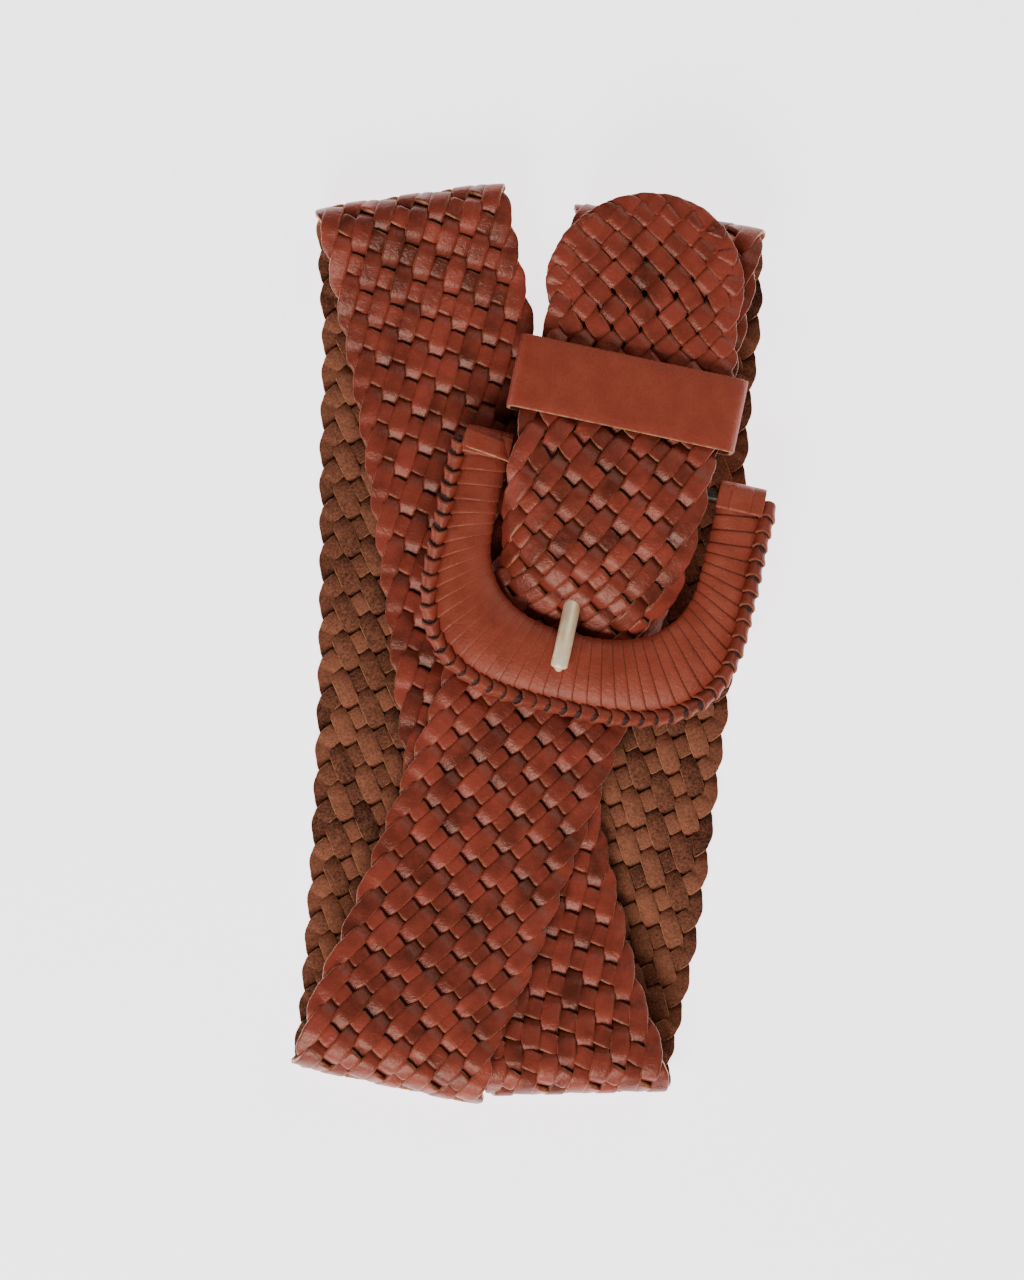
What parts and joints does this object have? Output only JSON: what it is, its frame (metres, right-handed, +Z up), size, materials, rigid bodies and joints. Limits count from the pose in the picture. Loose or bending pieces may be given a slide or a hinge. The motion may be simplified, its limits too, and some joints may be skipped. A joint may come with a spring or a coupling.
{
  "type": "braided leather belt",
  "caption": "Wide braided leather belt, buckled and folded flat, with a lace-wrapped D buckle, a metal prong and a plain loose keeper loop.",
  "frame": {"origin": "bottom centre of the folded belt's box, on the table", "axes": "+Y along the folded bundle from the bottom folds to the tip, +X to the wearer's reading right, +Z up from the table"},
  "size_m": [0.1364, 0.2629, 0.0263],
  "materials": {
    "braided_leather": "smooth cognac grain on one side, brown suede on the other",
    "lace_leather": "smooth cognac lace, pale at its cut edges",
    "keeper_leather": "plain smooth cognac leather with pale cut edges",
    "frame_metal": "plain metal, hidden by the lacing",
    "prong_brass": "pale satin brass"
  },
  "bodies": {
    "strap": {"strap_turnback": "braided_leather", "strap_bar_loop": "braided_leather", "strap_buckle_run": "braided_leather", "strap_fold_top_right": "braided_leather", "strap_right_run": "braided_leather", "strap_fold_bottom_right": "braided_leather", "strap_middle_run": "braided_leather", "strap_middle_upper": "braided_leather", "strap_fold_top_left": "braided_leather", "strap_left_run": "braided_leather", "strap_fold_bottom_left": "braided_leather", "strap_front_run": "braided_leather", "strap_window": "braided_leather", "strap_through_keeper": "braided_leather"},
    "tip": {"strap_tip": "braided_leather"},
    "buckle": {"buckle_frame": "frame_metal", "buckle_lacing": "lace_leather", "buckle_edge_braid": "lace_leather", "lace_end": "lace_leather"},
    "prong": {"buckle_prong": "prong_brass"},
    "keeper": {"keeper_band": "keeper_leather"}
  },
  "joints": [
    {"name": "buckle_swivel", "type": "hinge", "parent": "strap", "child": "buckle", "pos_m": [0.02245, 0.0477, 0.0154], "axis": [-0.9763, 0.2164, 0], "range_deg": [0, 3]},
    {"name": "prong_pivot", "type": "hinge", "parent": "buckle", "child": "prong", "pos_m": [0.02245, 0.0477, 0.0154], "axis": [-0.9763, 0.2164, 0], "range_deg": [0, 5]},
    {"name": "keeper_slide", "type": "slide", "parent": "strap", "child": "keeper", "axis": [0.2079, 0.9781, 0], "range_m": [-0.003, 0.008]},
    {"name": "tip_lift", "type": "hinge", "parent": "strap", "child": "tip", "pos_m": [0.03014, 0.09051, 0.02121], "axis": [0.9904, -0.1382, 0], "range_deg": [0, 25]}
  ]
}
